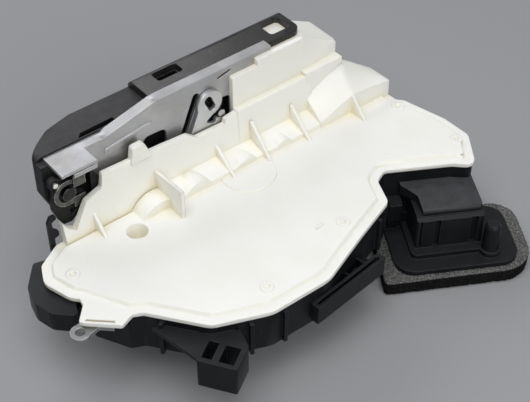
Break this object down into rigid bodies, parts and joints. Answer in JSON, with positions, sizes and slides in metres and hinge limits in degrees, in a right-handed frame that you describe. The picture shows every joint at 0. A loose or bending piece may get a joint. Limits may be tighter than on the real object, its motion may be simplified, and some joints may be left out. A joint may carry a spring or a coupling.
{
  "type": "vehicle door latch actuator",
  "caption": "Side-door latch with claw and pawl behind a face plate, a worm-driven locking unit under a ribbed milky cover, and a foam-sealed plug socket.",
  "frame": {"origin": "outer side of the face plate, on the centre line of the mouth and just above its top, where the latch seats against the door", "axes": "+X along the latch towards the plug socket, +Y out of the face plate, +Z out of the cover, away from the foam gasket"},
  "size_m": [0.2195, 0.1352, 0.0899],
  "materials": {
    "milky_plastic": "moulded satin",
    "natural_plastic": "moulded, smooth",
    "grey_plastic": "moulded, fine grain",
    "black_plastic": "moulded, fine grain",
    "black_steel": "dipped, semi-gloss black",
    "zinc_sheet": "zinc plated, soft shine",
    "zinc_cast": "zinc plated, matt",
    "bare_steel": "turned",
    "motor_can": "drawn, plated",
    "contact_metal": "tinned",
    "soft_rubber": "matt",
    "foam": "open cell, speckled"
  },
  "bodies": {
    "latch_frame": {"top_cover": "milky_plastic", "base_housing": "grey_plastic", "cover_seal": "soft_rubber", "latch_screws": "bare_steel", "lock_motor": "motor_can", "safe_motor": "motor_can", "inside_lever_pin": "bare_steel", "position_switches": "black_plastic", "lead_frame": "contact_metal", "connector_housing": "grey_plastic", "connector_hood": "grey_plastic", "connector_pins": "contact_metal", "foam_gasket": "foam", "face_plate": "black_steel", "back_plate": "zinc_sheet", "latch_housing": "black_plastic", "claw_pin": "bare_steel", "pawl_pin": "bare_steel", "claw_spring": "bare_steel", "pawl_spring": "bare_steel", "rubber_buffer": "soft_rubber", "key_pin": "bare_steel"},
    "claw_group": {"claw": "bare_steel", "claw_jacket": "black_plastic"},
    "pawl_group": {"pawl": "bare_steel"},
    "outside_release": {"release_lever": "zinc_cast"},
    "key_group": {"key_lever": "black_plastic", "key_fork": "bare_steel"},
    "inside_release": {"inside_release_lever": "zinc_cast"},
    "transfer_link": {"transfer_lever": "natural_plastic"},
    "lock_wheel_group": {"lock_wheel": "natural_plastic"},
    "lock_worm_group": {"lock_worm": "natural_plastic"},
    "lock_link": {"lock_lever": "natural_plastic"},
    "safe_wheel_group": {"safe_wheel": "natural_plastic"},
    "safe_worm_group": {"safe_worm": "natural_plastic"},
    "safe_link": {"safe_lever": "natural_plastic"}
  },
  "joints": [
    {"name": "claw_turn", "type": "hinge", "parent": "latch_frame", "child": "claw_group", "pos_m": [-0.0125, -0.0096, -0.024], "axis": [0, -1, 0], "range_deg": [0, 84], "stiffness_Nm_per_rad": 0.15, "springref_deg": -22.92},
    {"name": "release_turn", "type": "hinge", "parent": "latch_frame", "child": "outside_release", "pos_m": [-0.0125, -0.0229, -0.024], "axis": [0, -1, 0], "range_deg": [0, 14], "stiffness_Nm_per_rad": 0.2, "springref_deg": -20.05},
    {"name": "pawl_turn", "type": "hinge", "parent": "latch_frame", "child": "pawl_group", "pos_m": [0.019, -0.0096, -0.012], "axis": [0, 1, 0], "range_deg": [0, 10.5]},
    {"name": "key_turn", "type": "hinge", "parent": "latch_frame", "child": "key_group", "pos_m": [-0.0754, -0.0216, -0.001], "axis": [0, 1, 0], "range_deg": [-20, 20], "stiffness_Nm_per_rad": 0.03},
    {"name": "inside_turn", "type": "hinge", "parent": "latch_frame", "child": "inside_release", "pos_m": [-0.082, -0.0656, -0.0286], "axis": [0, 0, 1], "range_deg": [0, 25], "stiffness_Nm_per_rad": 0.05, "springref_deg": -17.19},
    {"name": "transfer_turn", "type": "hinge", "parent": "latch_frame", "child": "transfer_link", "pos_m": [-0.052, -0.0596, -0.0343], "axis": [0, 0, 1], "range_deg": [-19.4, 0]},
    {"name": "lock_wheel_turn", "type": "hinge", "parent": "latch_frame", "child": "lock_wheel_group", "pos_m": [0.0046, -0.0421, -0.0338], "axis": [0, 0, 1], "range_deg": [0, 60]},
    {"name": "lock_worm_turn", "type": "hinge", "parent": "latch_frame", "child": "lock_worm_group", "pos_m": [0.0046, -0.0568, -0.0338], "axis": [1, 0, 0], "range_deg": [-1680, 0]},
    {"name": "lock_lever_turn", "type": "hinge", "parent": "latch_frame", "child": "lock_link", "pos_m": [-0.028, -0.0396, -0.0295], "axis": [0, 0, 1], "range_deg": [-14.9, 0]},
    {"name": "safe_wheel_turn", "type": "hinge", "parent": "latch_frame", "child": "safe_wheel_group", "pos_m": [-0.019, -0.0926, -0.0338], "axis": [0, 0, 1], "range_deg": [0, 60]},
    {"name": "safe_worm_turn", "type": "hinge", "parent": "latch_frame", "child": "safe_worm_group", "pos_m": [-0.019, -0.0779, -0.0338], "axis": [1, 0, 0], "range_deg": [0, 1680]},
    {"name": "safe_lever_turn", "type": "hinge", "parent": "latch_frame", "child": "safe_link", "pos_m": [-0.0456, -0.0906, -0.0295], "axis": [0, 0, 1], "range_deg": [-19.2, 0]}
  ],
  "couplings": [
    {"joint": "pawl_turn", "follows": "release_turn", "ratio": 0.75},
    {"joint": "transfer_turn", "follows": "inside_turn", "ratio": -0.775},
    {"joint": "lock_worm_turn", "follows": "lock_wheel_turn", "ratio": -28},
    {"joint": "lock_lever_turn", "follows": "lock_wheel_turn", "ratio": -0.248},
    {"joint": "safe_worm_turn", "follows": "safe_wheel_turn", "ratio": 28},
    {"joint": "safe_lever_turn", "follows": "safe_wheel_turn", "ratio": -0.3195}
  ]
}
